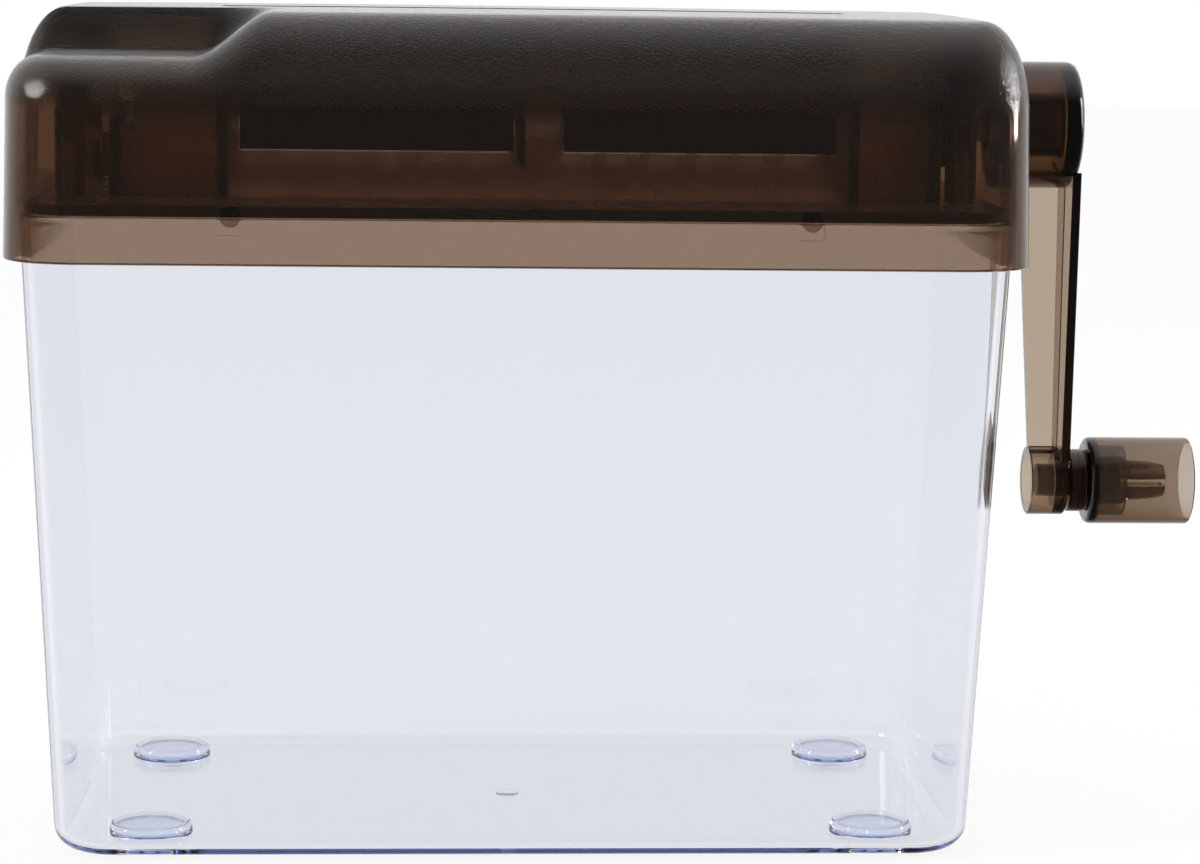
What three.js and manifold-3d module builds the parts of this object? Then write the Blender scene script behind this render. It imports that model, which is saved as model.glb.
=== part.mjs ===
// Hand-cranked desktop paper shredder for A6 sheets. A smoky see-through head holds two meshed
// rows of cutting discs and lifts off a clear tapered bin; a crank on the right turns them.
// Millimetres, +Z up, +X towards the crank, the front of the bin faces -Y.
// The origin lies on the table, at the middle of the whole object's footprint.

import * as THREE from 'three';
import { mergeVertices } from 'three/addons/utils/BufferGeometryUtils.js';
import Module from 'manifold-3d';

const wasm = await Module();
wasm.setup();

// ---------------------------------------------------------------- driving dimensions

const GAP = 0.3;                          // between pieces that touch

const BIN = {
  floorZ: 0.4,                            // underside of the floor; the pads reach down to zero
  rimZ: 112.9,
  halfX: [81.2, 86.2],                    // at the floor and at the rim
  halfY: [43.2, 46.8],
  wall: 1.8,
  cornerR: 11,
  edgeR: 4,                               // between the floor and the walls
};

const PAD = {
  x: 64.5,
  y: 29.7,
  topR: 6.2,
  footR: 5.5,
  footHeight: 0.7,
  height: 2.4,
  dimpleR: 1.7,
  dimpleDepth: 1.1,
};
const PAD_CUP = { outerR: 7.4, innerR: 6.6, topZ: 4.4, ceiling: 1.3 };

const COVER = {
  bottomZ: 105.1,
  topZ: 148,
  lowTopZ: 140,                           // the cut-down part at the front left
  halfX: [88.9, 88.3],                    // at the lower edge and at the shoulder
  halfY: [49.3, 49],
  wall: 1.8,
  cornerR: 13,
  shoulder: [12, 17],                     // how far the top edge rounds over, inwards and down
  lowShoulder: [8.5, 7.5],
  shaftHoleR: 5.2,
};
const STEP = { lowX: -56.5, highX: -42.5, backY: -15, backSlope: 3 };

const CUT = {
  leftX: [-49.2, -0.6],                   // the two groups of cutting discs, left and right
  rightX: [7.8, 56.4],
  pairs: 6,                               // discs per shaft in a group
  discR: 8,
  toothDepth: 0.5,
  teeth: 12,
  hubR: 4.8,
  axisZ: 128.3,
  axisY: 7,                               // the shafts lie this far in front of and behind the middle
  shaftR: 3.4,                            // over the corners of the hexagon
  boreR: 3.6,
};

const SLOT = { x: [-53, 60], halfY: 2.3, funnel: 1.6, chuteZ: 138.6, chuteWall: 1.4 };

const FRAME = {
  flangeX: 85.2,
  flangeY: 46.2,
  flangeZ: [113.2, 115.1],
  wallX: [-71.7, 75],
  wallY: 22,                              // inner face of the front and rear walls
  wall: 2,
  topZ: 136,
  windowZ: [123.2, 131.3],
  corner: 4,                              // cut off the right end of the front and rear walls
  notch: { x: -67.3, topZ: 128.6, lowZ: 122.9 },  // cut off their left end, over the first bearing wall
  crossX: [-71.7, -53, 58.6, 73],         // lower x of each bearing wall
  lowWallZ: 128,                          // top of the first bearing wall
  holeR: 4.3,
  dropX: [-51, 58],                       // opening that the strips fall through
  dropY: 21,
};

const POST = { x: 78.3, y: 26, r: 2.9, boreR: 1.25, bottomZ: FRAME.flangeZ[1] + 0.2 };
const SCREW = { headR: 2.6, headHeight: 1.6, shankR: 1.15, length: 9, holeR: 1.6 };
const SHAFT = { frontX: [-74, 98], rearX: [-74, 84] };
const BUSHING = { innerR: 3.55, outerR: FRAME.holeR - 0.1, flangeR: 5.3, flange: 0.8 };
const STAY = { x: [-0.1, 1.2], bottomZ: 120.6, holeR: 4.2 };
const GEAR = { x: [76.2, 82.2], teeth: 14, pitchR: CUT.axisY, addendum: 0.85, dedendum: 1.15 };
const PIP = { x: 49.5, z: 113.4, r: 1.8, depth: 0.9, notch: 2.3, notchDepth: 1 };

const CRANK = {
  hubX: [89.4, 102.7],
  hubR: 11.5,
  hubWall: 2.8,
  endWall: 3.6,
  socketR: 5.8,
  radius: 65.6,                           // from the hub's axis down to the grip's axis
  plate: { thick: 1.7, topX: 91.6, lowX: 95.8 },  // upright plate, with its sloping inner edge
  flange: { x: [100.8, 102.4], topHalfY: 7.6, lowHalfY: 4.9 },  // along the plate's outer edge
  boss: { x: [95.3, 102.1], r: 6.35, boreR: 4.9, floor: 2.2 },
};
const GRIP = {
  x: [106, 125.3],
  r: 8,
  wall: 1.2,
  endWall: 1.7,
  boreR: 3.3,
  hubR: 4.4,
  skirtR: [5.7, 6.5],
  depth: 7.2,                             // of the hub and of the skirt around it
};
const SPINDLE = {
  stubX: 97,
  stubR: 3,
  collarR: 5.8,
  collarX: [102.7, 105.7],
  shaftR: 3,
  barbR: 3.65,
  endX: 120.8,
  slot: 1.3,                              // between the four snap prongs
  coreR: 1.2,
};

const FOOTPRINT_X = [-COVER.halfX[0], GRIP.x[1]];
const MIDDLE_X = (FOOTPRINT_X[0] + FOOTPRINT_X[1]) / 2;

// ---------------------------------------------------------------- finishes

const finish = (color, roughness, metalness = 0, opacity = 1) =>
  new THREE.MeshStandardMaterial({
    color, roughness, metalness, opacity, transparent: opacity < 1, flatShading: true,
  });

const clearPlastic = () => finish(0xdfe6f6, 0.08, 0, 0.35);
const smokedPlastic = () => finish(0x4a3a34, 0.3, 0, 0.7);
const blackPlastic = () => finish(0x121212, 0.5);
const cutterSteel = () => finish(0x9a9da1, 0.35, 1);
const shaftSteel = () => finish(0x8b8e92, 0.3, 1);
const nylon = () => finish(0xd9d5c8, 0.5);
const softPad = () => finish(0xaebbd8, 0.35);

// ---------------------------------------------------------------- shape helpers

const X = new THREE.Vector3(1, 0, 0);
const Y = new THREE.Vector3(0, 1, 0);
const Z = new THREE.Vector3(0, 0, 1);
const basis = (a, b, c) => new THREE.Matrix4().makeBasis(a, b, c);

function welded(geometry) {
  const bare = geometry.clone();
  bare.deleteAttribute('normal');
  bare.deleteAttribute('uv');
  return mergeVertices(bare, 1e-3);
}

// Turns a closed geometry into a solid, whichever way its faces were wound.
function solid(geometry) {
  const mesh = welded(geometry);
  const place = mesh.attributes.position;
  const index = Uint32Array.from(mesh.index.array);
  const corner = (i) => new THREE.Vector3().fromBufferAttribute(place, index[i]);
  let volume = 0;
  const faces = [];
  for (let i = 0; i < index.length; i += 3) {
    const [a, b, c] = [corner(i), corner(i + 1), corner(i + 2)];
    volume += a.dot(b.clone().cross(c));
    const flat = index[i] === index[i + 1] || index[i + 1] === index[i + 2] || index[i] === index[i + 2];
    if (!flat) faces.push([index[i], index[i + 1], index[i + 2]]);
  }
  const wound = faces.map(([a, b, c]) => (volume > 0 ? [a, b, c] : [a, c, b]));
  return new wasm.Manifold(new wasm.Mesh({
    numProp: 3,
    vertProperties: Float32Array.from(place.array),
    triVerts: Uint32Array.from(wound.flat()),
  }));
}

function geometryOf(body) {
  const mesh = body.getMesh();
  const geometry = new THREE.BufferGeometry();
  geometry.setAttribute('position', new THREE.BufferAttribute(mesh.vertProperties, 3));
  geometry.setIndex(new THREE.BufferAttribute(mesh.triVerts, 1));
  return geometry;
}

const joined = (bodies) => bodies.reduce((whole, next) => whole.add(next));
const cut = (body, tools) => tools.reduce((rest, tool) => rest.subtract(tool), body);

function block([x0, x1], [y0, y1], [z0, z1]) {
  const box = new THREE.BoxGeometry(x1 - x0, y1 - y0, z1 - z0);
  box.translate((x0 + x1) / 2, (y0 + y1) / 2, (z0 + z1) / 2);
  return solid(box);
}

// Extrudes an outline drawn in (y, z) along X, from x0 to x1.
function alongX(shape, [x0, x1], curveSegments = 12) {
  const body = new THREE.ExtrudeGeometry(shape, { depth: x1 - x0, bevelEnabled: false, curveSegments });
  body.applyMatrix4(basis(Y, Z, X));
  return solid(body.translate(x0, 0, 0));
}

// Extrudes an outline drawn in (x, z) along Y, from y0 to y1.
function alongY(shape, [y0, y1], curveSegments = 12) {
  const body = new THREE.ExtrudeGeometry(shape, { depth: y1 - y0, bevelEnabled: false, curveSegments });
  body.applyMatrix4(basis(X, Z, Y.clone().negate()));
  return solid(body.translate(0, y1, 0));
}

function alongZ(shape, [z0, z1], curveSegments = 12) {
  const body = new THREE.ExtrudeGeometry(shape, { depth: z1 - z0, bevelEnabled: false, curveSegments });
  return solid(body.translate(0, 0, z0));
}

// Turns a profile of [radius, x] points about an axis along X through (y, z).
function turnedX(profile, segments, [y, z]) {
  const points = profile.map(([radius, along]) => new THREE.Vector2(radius, along));
  const body = new THREE.LatheGeometry(points, segments);
  body.applyMatrix4(basis(Y, X, Z.clone().negate()));
  return solid(body.translate(0, y, z));
}

function turnedZ(profile, segments, [x, y]) {
  const points = profile.map(([radius, along]) => new THREE.Vector2(radius, along));
  const body = new THREE.LatheGeometry(points, segments);
  body.applyMatrix4(basis(X, Z, Y.clone().negate()));
  return solid(body.translate(x, y, 0));
}

// A round bar along X through (y, z), and one along Z through (x, y).
const rod = (radius, [x0, x1], segments, centre) =>
  turnedX([[0, x0], [radius, x0], [radius, x1], [0, x1]], segments, centre);
const pin = (radius, [z0, z1], segments, centre) =>
  turnedZ([[0, z0], [radius, z0], [radius, z1], [0, z1]], segments, centre);

function polygon(points) {
  return new THREE.Shape(points.map(([a, b]) => new THREE.Vector2(a, b)));
}

function roundedPlan(halfX, halfY, r) {
  const shape = new THREE.Shape();
  shape.absarc(halfX - r, halfY - r, r, 0, Math.PI / 2);
  shape.absarc(r - halfX, halfY - r, r, Math.PI / 2, Math.PI);
  shape.absarc(r - halfX, r - halfY, r, Math.PI, Math.PI * 1.5);
  shape.absarc(halfX - r, r - halfY, r, Math.PI * 1.5, Math.PI * 2);
  return shape;
}

// A block with a rounded plan and both ends rounded over by `edge` = [inwards, along Z].
function pillow(halfX, halfY, cornerR, [z0, z1], edge, curveSegments = 5, bevelSegments = 5) {
  const [inwards, along] = edge;
  const body = new THREE.ExtrudeGeometry(roundedPlan(halfX, halfY, cornerR), {
    depth: z1 - z0 - 2 * along,
    bevelSize: inwards,
    bevelThickness: along,
    bevelOffset: -inwards,
    bevelSegments,
    curveSegments,
  });
  return body.translate(0, 0, z0 + along);
}

// Scales a body's plan with height, from the first half-width at z0 to the second at z1.
function tapered(geometry, [z0, z1], [fromX, toX], [fromY, toY]) {
  const place = geometry.attributes.position;
  for (let i = 0; i < place.count; i += 1) {
    const t = (place.getZ(i) - z0) / (z1 - z0);
    place.setX(i, place.getX(i) * (1 + (fromX / toX - 1) * (1 - t)));
    place.setY(i, place.getY(i) * (1 + (fromY / toY - 1) * (1 - t)));
  }
  return geometry;
}

// ---------------------------------------------------------------- bin

function binBody(inset, floorZ) {
  const { rimZ, halfX, halfY, cornerR, edgeR } = BIN;
  const above = 20;                        // the rounded upper end is made here and trimmed away
  const edge = edgeR - inset;
  const plan = [halfX[1] - inset, halfY[1] - inset, cornerR - inset];
  const shaped = tapered(
    pillow(...plan, [floorZ, rimZ + above], [edge, edge], 5, 4),
    [BIN.floorZ, rimZ],
    [halfX[0] - inset, halfX[1] - inset],
    [halfY[0] - inset, halfY[1] - inset],
  );
  return solid(shaped);
}

function makeBin() {
  const { floorZ, rimZ, wall } = BIN;
  const wide = 2 * BIN.halfX[1];
  const aboveRim = block([-wide, wide], [-wide, wide], [rimZ, rimZ + 60]);
  const shell = binBody(0, floorZ).subtract(binBody(wall, floorZ + wall)).subtract(aboveRim);
  const { outerR, innerR, topZ, ceiling } = PAD_CUP;
  const low = floorZ + 0.4;
  const cups = padPlaces().map(({ x, y }) =>
    turnedZ([[0, low], [outerR, low], [outerR - 0.5, topZ], [0, topZ]], 18, [x, y]));
  const recesses = padPlaces().map(({ x, y }) => pin(innerR, [-1, topZ - ceiling], 18, [x, y]));
  const notches = pipPlaces().map(({ x, side }) => {
    const y = [BIN.halfY[1] - PIP.notchDepth, wide].map((reach) => side * reach).sort((a, b) => a - b);
    return block([x - PIP.notch, x + PIP.notch], y, [PIP.z - PIP.notch - 1, wide * 2]);
  });
  return cut(joined([shell, ...cups]), [...recesses, ...notches]);
}

function padPlaces() {
  const places = [];
  for (const [row, y] of [['front', -PAD.y], ['rear', PAD.y]]) {
    for (const [side, x] of [['left', -PAD.x], ['right', PAD.x]]) {
      places.push({ name: `foot_pad_${row}_${side}`, x, y });
    }
  }
  return places;
}

function makePad({ x, y }) {
  const { topR, footR, footHeight, height, dimpleR, dimpleDepth } = PAD;
  const profile = [
    [0, dimpleDepth], [dimpleR, dimpleDepth], [dimpleR, 0], [footR, 0],
    [topR, footHeight], [topR, height], [0, height],
  ];
  return turnedZ(profile, 18, [x, y]);
}

// ---------------------------------------------------------------- head cover

// The part of the head above the step: everything but the cut-down front left corner.
function stepTool(inset) {
  const { lowX, highX, backY, backSlope } = STEP;
  const low = COVER.lowTopZ - inset;
  const high = COVER.topZ + 1;
  const far = 2 * COVER.halfX[0];
  const bend = (highX - lowX) * 0.55;
  const side = new THREE.Shape();
  side.moveTo(-far, low);
  side.lineTo(lowX + inset, low);
  side.bezierCurveTo(lowX + bend + inset, low, highX - bend + inset, COVER.topZ, highX + inset, COVER.topZ);
  side.lineTo(highX + inset, high);
  side.lineTo(-far, high);
  const back = polygon([[-far, low], [backY + inset, low], [backY + backSlope + inset, high], [-far, high]]);
  return alongY(side, [-far, far], 8).intersect(alongX(back, [-far, far]));
}

function coverBody(inset) {
  const { bottomZ, topZ, lowTopZ, halfX, halfY, cornerR, shoulder, lowShoulder } = COVER;
  const below = bottomZ - 40;              // the rounded lower end is trimmed away
  const plan = [halfX[1] - inset, halfY[1] - inset, cornerR - inset];
  const high = solid(pillow(...plan, [below, topZ - inset], shoulder.map((r) => r - inset)));
  const low = solid(pillow(...plan, [below, lowTopZ - inset], lowShoulder.map((r) => r - inset)));
  const straight = high.subtract(stepTool(inset)).add(low);
  const drafts = [halfX, halfY].map(([foot, top]) => (foot - inset) / (top - inset) - 1);
  const draftTop = topZ - shoulder[1];
  return straight.warp((point) => {
    const down = (draftTop - point[2]) / (draftTop - bottomZ);
    drafts.forEach((draft, i) => { point[i] *= 1 + draft * down; });
  });
}

function makeCover() {
  const { bottomZ, topZ, halfX, halfY, wall } = COVER;
  const far = 2 * halfX[0];
  const belowEdge = block([-far, far], [-far, far], [0, bottomZ]);
  const shell = coverBody(0).subtract(coverBody(wall)).subtract(belowEdge);
  const chute = block(
    [SLOT.x[0] - SLOT.chuteWall, SLOT.x[1] + SLOT.chuteWall],
    [-SLOT.halfY - SLOT.chuteWall, SLOT.halfY + SLOT.chuteWall],
    [SLOT.chuteZ, topZ - 0.5],
  );
  const posts = postPlaces().map(({ x, y }) =>
    pin(POST.r, [POST.bottomZ, topZ], 16, [x, y]).intersect(coverBody(wall / 2)));
  const pips = pipPlaces().map(({ x, side }) => {
    const wallY = side * (halfY[0] - wall + 0.3);
    const face = new THREE.CylinderGeometry(PIP.r, PIP.r * 0.8, PIP.depth + 0.3, 12);
    face.rotateX(side > 0 ? 0 : Math.PI);
    return solid(face.translate(x, wallY - side * (PIP.depth + 0.3) / 2, PIP.z));
  });
  const slot = block(SLOT.x, [-SLOT.halfY, SLOT.halfY], [SLOT.chuteZ - 1, topZ + 1]);
  const mouth = alongX(polygon([
    [-SLOT.halfY, topZ - SLOT.funnel], [-SLOT.halfY - SLOT.funnel, topZ + 0.1],
    [SLOT.halfY + SLOT.funnel, topZ + 0.1], [SLOT.halfY, topZ - SLOT.funnel],
  ]), SLOT.x);
  const shaftHole = rod(COVER.shaftHoleR, [halfX[1] - 6, halfX[1] + 1], 20, [-CUT.axisY, CUT.axisZ]);
  const screwHoles = postPlaces().map(({ x, y }) =>
    pin(POST.boreR, [POST.bottomZ - 1, POST.bottomZ + SCREW.length], 10, [x, y]));
  return cut(joined([shell, chute, ...posts, ...pips]), [slot, mouth, shaftHole, ...screwHoles]);
}

function postPlaces() {
  const places = [];
  for (const [row, y] of [['front', -POST.y], ['rear', POST.y]]) {
    for (const [side, x] of [['left', -POST.x], ['right', POST.x]]) {
      places.push({ name: `frame_screw_${row}_${side}`, x, y });
    }
  }
  return places;
}

function pipPlaces() {
  return [-1, 1].flatMap((side) => [-PIP.x, PIP.x].map((x) => ({ x, side })));
}

// ---------------------------------------------------------------- cutter frame

function makeFrame() {
  const { flangeX, flangeY, flangeZ, wallX, wallY, wall, topZ, windowZ, crossX, dropX, dropY } = FRAME;
  const { corner, notch, lowWallZ, holeR } = FRAME;
  const foot = flangeZ[0];
  const flange = alongZ(roundedPlan(flangeX, flangeY, COVER.cornerR - 3), flangeZ, 5);
  const longWall = polygon([
    [wallX[0], foot], [wallX[1], foot], [wallX[1], topZ - corner], [wallX[1] - corner, topZ],
    [notch.x, topZ], [notch.x, notch.topZ], [wallX[0], notch.lowZ],
  ]);
  const walls = [
    alongY(longWall, [-wallY - wall, -wallY]),
    alongY(longWall, [wallY, wallY + wall]),
    ...crossX.map((x, i) =>
      block([x, x + wall], [-wallY - 0.5, wallY + 0.5], [foot, i === 0 ? lowWallZ : topZ])),
  ];
  const bothWalls = [-wallY - wall - 1, wallY + wall + 1];
  const windows = [CUT.leftX, CUT.rightX].map((x) => block(x, bothWalls, windowZ));
  const drop = block(dropX, [-dropY, dropY], [foot - 1, flangeZ[1] + 0.01]);
  const bearingHoles = [-CUT.axisY, CUT.axisY].map((y) =>
    rod(holeR, [-flangeX, flangeX], 20, [y, CUT.axisZ]));
  const screwHoles = postPlaces().map(({ x, y }) => pin(SCREW.holeR, [foot - 5, foot + 5], 12, [x, y]));
  return cut(joined([flange, ...walls]), [drop, ...windows, ...bearingHoles, ...screwHoles]);
}

function makeScrew({ x, y }) {
  const { headR, headHeight, shankR, length } = SCREW;
  const under = FRAME.flangeZ[0] - 0.1;
  const head = under - headHeight;
  const profile = [
    [0, head], [headR - 0.3, head], [headR, head + 0.5], [headR, under],
    [shankR, under], [shankR, under + length], [0, under + length],
  ];
  return turnedZ(profile, 12, [x, y]);
}

// ---------------------------------------------------------------- cutters and gears

function hexagon(radius) {
  const path = new THREE.Path();
  for (let i = 0; i < 6; i += 1) {
    const angle = (i * Math.PI) / 3;
    const corner = [radius * Math.cos(angle), radius * Math.sin(angle)];
    if (i === 0) path.moveTo(...corner);
    else path.lineTo(...corner);
  }
  path.closePath();
  return path;
}

function ring(outline, boreR) {
  const shape = polygon(outline);
  shape.holes.push(hexagon(boreR));
  return shape;
}

function roundOutline(radius, count) {
  return Array.from({ length: count }, (_, i) => {
    const angle = (2 * Math.PI * i) / count;
    return [radius * Math.cos(angle), radius * Math.sin(angle)];
  });
}

function toothedOutline() {
  const { discR, toothDepth, teeth } = CUT;
  return Array.from({ length: 2 * teeth }, (_, i) => {
    const angle = (Math.PI * i) / teeth;
    const radius = i % 2 ? discR - toothDepth : discR;
    return [radius * Math.cos(angle), radius * Math.sin(angle)];
  });
}

// One disc with the spacer hub beside it. `flip` puts the hub before the disc.
function makeCutter([x0, x1], flip) {
  const middle = (x0 + x1) / 2;
  const play = 0.1;
  const [disc, hub] = flip
    ? [[middle + play, x1 - play], [x0 + play / 2, middle + 1]]
    : [[x0 + play, middle - play], [middle - 1, x1 - play / 2]];
  const y = flip ? CUT.axisY : -CUT.axisY;
  const plate = alongX(ring(toothedOutline(), CUT.boreR), disc);
  const spacer = alongX(ring(roundOutline(CUT.hubR, 12), CUT.boreR), hub);
  return plate.add(spacer).translate(0, y, CUT.axisZ);
}

function cutterPlaces() {
  const places = [];
  for (const flip of [false, true]) {
    for (const [group, [x0, x1]] of [['left', CUT.leftX], ['right', CUT.rightX]]) {
      const pitch = (x1 - x0) / CUT.pairs;
      for (let i = 0; i < CUT.pairs; i += 1) {
        const name = `${flip ? 'rear' : 'front'}_cutter_${group}_${i + 1}`;
        places.push({ name, flip, x: [x0 + i * pitch, x0 + (i + 1) * pitch] });
      }
    }
  }
  return places;
}

const makeShaft = (y, x) => alongX(polygon(roundOutline(CUT.shaftR, 6)), x).translate(0, y, CUT.axisZ);

function makeGear(y, turn) {
  const { teeth, pitchR, addendum, dedendum, x } = GEAR;
  const pitchAngle = (2 * Math.PI) / teeth;
  const corners = [                        // of one tooth: radius, and angle in tooth pitches
    [pitchR - dedendum, -0.36], [pitchR, -0.2], [pitchR + addendum, -0.09],
    [pitchR + addendum, 0.09], [pitchR, 0.2], [pitchR - dedendum, 0.36],
  ];
  const outline = Array.from({ length: teeth }, (_, i) =>
    corners.map(([radius, part]) => {
      const angle = (i + part + turn) * pitchAngle;
      return [radius * Math.cos(angle), radius * Math.sin(angle)];
    })).flat();
  return alongX(ring(outline, CUT.boreR), x).translate(0, y, CUT.axisZ);
}

function makeBushing(x, y, flangeSide) {
  const { innerR, outerR, flangeR, flange } = BUSHING;
  const play = 0.1;
  const inWall = flangeSide > 0 ? x + play : x + FRAME.wall - play;
  const face = flangeSide > 0 ? x + FRAME.wall + play : x - play;
  const end = face + flangeSide * flange;
  const profile = [
    [innerR, inWall], [outerR, inWall], [outerR, face], [flangeR, face], [flangeR, end],
    [innerR, end], [innerR, inWall],
  ];
  return turnedX(profile, 16, [y, CUT.axisZ]);
}

// A comb strips the paper off one group: a bar in the frame's window, with a finger into each space.
function makeComb([x0, x1], side) {
  const pitch = (x1 - x0) / CUT.pairs;
  const play = 0.35;
  const barBack = CUT.axisY + CUT.discR + 0.6;
  const tip = CUT.axisY + CUT.hubR + 0.5;
  const front = FRAME.wallY + FRAME.wall - 0.3;
  const ends = [x0 + GAP, x1 - GAP];
  const outline = [[ends[0], front], [ends[0], barBack]];
  for (let i = 0; i < CUT.pairs; i += 1) {
    const start = x0 + i * pitch + (side < 0 ? pitch / 2 : 0);
    const left = Math.max(start + play, ends[0] + 0.2);
    const right = Math.min(start + pitch / 2 - play, ends[1] - 0.2);
    outline.push([left, barBack], [left, tip], [right, tip], [right, barBack]);
  }
  outline.push([ends[1], barBack], [ends[1], front]);
  const shape = polygon(outline.map(([x, y]) => [x, side * y]));
  return alongZ(shape, [FRAME.windowZ[0] + GAP, FRAME.windowZ[1] - GAP]);
}

function makeStay() {
  const { x, bottomZ, holeR } = STAY;
  const body = block(x, [-FRAME.wallY + GAP, FRAME.wallY - GAP], [bottomZ, FRAME.topZ - 1]);
  const holes = [-CUT.axisY, CUT.axisY].map((y) => rod(holeR, [x[0] - 1, x[1] + 1], 16, [y, CUT.axisZ]));
  return cut(body, holes);
}

// ---------------------------------------------------------------- crank

function makeCrank() {
  const { hubX, hubR, hubWall, endWall, socketR, radius, plate, flange, boss } = CRANK;
  const axis = [-CUT.axisY, CUT.axisZ];
  const low = [-CUT.axisY, CUT.axisZ - radius];
  const [open, floor] = [hubX[0] - 1, hubX[1] - endWall];
  const past = [80, 120];                  // clear of the crank on both sides
  const cup = turnedX([                    // with its end face slightly domed
    [0, hubX[0]], [hubR, hubX[0]], [hubR, hubX[1] - 2.6], [hubR - 0.6, hubX[1] - 1.3],
    [hubR - 3, hubX[1] - 0.3], [0, hubX[1]],
  ], 32, axis);
  const hollow = turnedX([
    [socketR, open], [hubR - hubWall, open], [hubR - hubWall, floor], [socketR, floor], [socketR, open],
  ], 32, axis);
  const socket = alongX(new THREE.Shape(hexagon(CUT.boreR).getPoints()), [open, floor])
    .translate(0, ...axis);

  const plateSide = polygon([
    [plate.lowX, low[1]], [flange.x[1] - 0.1, low[1]], [flange.x[1] - 0.1, axis[1]], [plate.topX, axis[1]],
  ]);
  const flangeSide = polygon([
    [-flange.lowHalfY, low[1]], [flange.lowHalfY, low[1]],
    [flange.topHalfY, axis[1]], [-flange.topHalfY, axis[1]],
  ]);
  const arm = cut(
    alongY(plateSide, [axis[0] - plate.thick / 2, axis[0] + plate.thick / 2])
      .add(alongX(flangeSide, flange.x).translate(0, axis[0], 0)),
    [rod(hubR - 0.5, past, 32, axis), rod(boss.r - 0.5, past, 24, low)],
  );
  const bossBody = rod(boss.r, boss.x, 24, low);
  const bossBore = rod(boss.boreR, [boss.x[0] - 1, boss.x[1] - boss.floor], 24, low);
  const spindleHole = rod(SPINDLE.stubR + 0.1, past, 20, low);
  const whole = joined([cup.subtract(hollow), bossBody.subtract(bossBore), arm]);
  return cut(whole, [socket, spindleHole]);
}

function makeSpindle() {
  const { stubX, stubR, collarR, collarX, shaftR, barbR, endX, slot, coreR } = SPINDLE;
  const barbX = GRIP.x[0] + GRIP.depth + 0.4;
  const centre = [-CUT.axisY, CUT.axisZ - CRANK.radius];
  const body = turnedX([
    [0, stubX], [stubR, stubX], [stubR, collarX[0]], [collarR, collarX[0]], [collarR, collarX[1]],
    [shaftR, collarX[1]], [shaftR, barbX], [barbR, barbX + 0.6], [barbR, barbX + 1.6],
    [barbR - 0.7, endX], [0, endX],
  ], 24, centre);
  const split = [barbX - 1.5, endX + 1];
  const slots = [
    block(split, [-slot / 2, slot / 2], [-8, 8]),
    block(split, [-8, 8], [-slot / 2, slot / 2]),
    rod(coreR, split, 12, [0, 0]),
  ].map((tool) => tool.translate(0, ...centre));
  return cut(body, slots);
}

function makeGrip() {
  const { x, r, wall, endWall, boreR, hubR, skirtR, depth } = GRIP;
  const inside = x[0] + endWall;
  const tip = x[0] + depth;
  const profile = [
    [boreR, x[0]], [r - 1, x[0]], [r, x[0] + 1], [r, x[1]], [r - wall + 0.2, x[1]], [r - wall, inside],
    [skirtR[1], inside], [skirtR[1], tip - 0.3], [skirtR[0], tip - 0.3], [skirtR[0], inside],
    [hubR, inside], [hubR, tip], [boreR, tip], [boreR, x[0]],
  ];
  return turnedX(profile, 32, [-CUT.axisY, CUT.axisZ - CRANK.radius]);
}

// ---------------------------------------------------------------- assembly

const shredder = new THREE.Group();
const housing = new THREE.Group();
housing.position.x = -MIDDLE_X;
shredder.add(housing);

function addPiece(name, body, material) {
  const mesh = new THREE.Mesh(geometryOf(body), material);
  mesh.name = name;
  housing.add(mesh);
}

addPiece('bin', makeBin(), clearPlastic());
for (const place of padPlaces()) addPiece(place.name, makePad(place), softPad());

addPiece('head_cover', makeCover(), smokedPlastic());
addPiece('cutter_frame', makeFrame(), smokedPlastic());
for (const place of postPlaces()) addPiece(place.name, makeScrew(place), shaftSteel());
for (const [group, x] of [['left', CUT.leftX], ['right', CUT.rightX]]) {
  addPiece(`front_comb_${group}`, makeComb(x, -1), blackPlastic());
  addPiece(`rear_comb_${group}`, makeComb(x, 1), blackPlastic());
}
addPiece('centre_stay', makeStay(), blackPlastic());
for (const [row, y] of [['front', -CUT.axisY], ['rear', CUT.axisY]]) {
  addPiece(`${row}_bushing_left`, makeBushing(FRAME.crossX[0], y, -1), nylon());
  addPiece(`${row}_bushing_right`, makeBushing(FRAME.crossX[3], y, 1), nylon());
}

addPiece('front_shaft', makeShaft(-CUT.axisY, SHAFT.frontX), shaftSteel());
addPiece('rear_shaft', makeShaft(CUT.axisY, SHAFT.rearX), shaftSteel());
addPiece('drive_gear', makeGear(-CUT.axisY, 0), blackPlastic());
addPiece('driven_gear', makeGear(CUT.axisY, 0.5), blackPlastic());
for (const { name, flip, x } of cutterPlaces()) addPiece(name, makeCutter(x, flip), cutterSteel());

addPiece('crank', makeCrank(), smokedPlastic());
addPiece('grip_spindle', makeSpindle(), smokedPlastic());
addPiece('grip', makeGrip(), smokedPlastic());

export default shredder;
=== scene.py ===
"""A hand-cranked desktop paper shredder: smoky see-through head, clear tapered bin, crank on the right."""

import math

import bmesh
import bpy
from mathutils import Matrix, Vector


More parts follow.
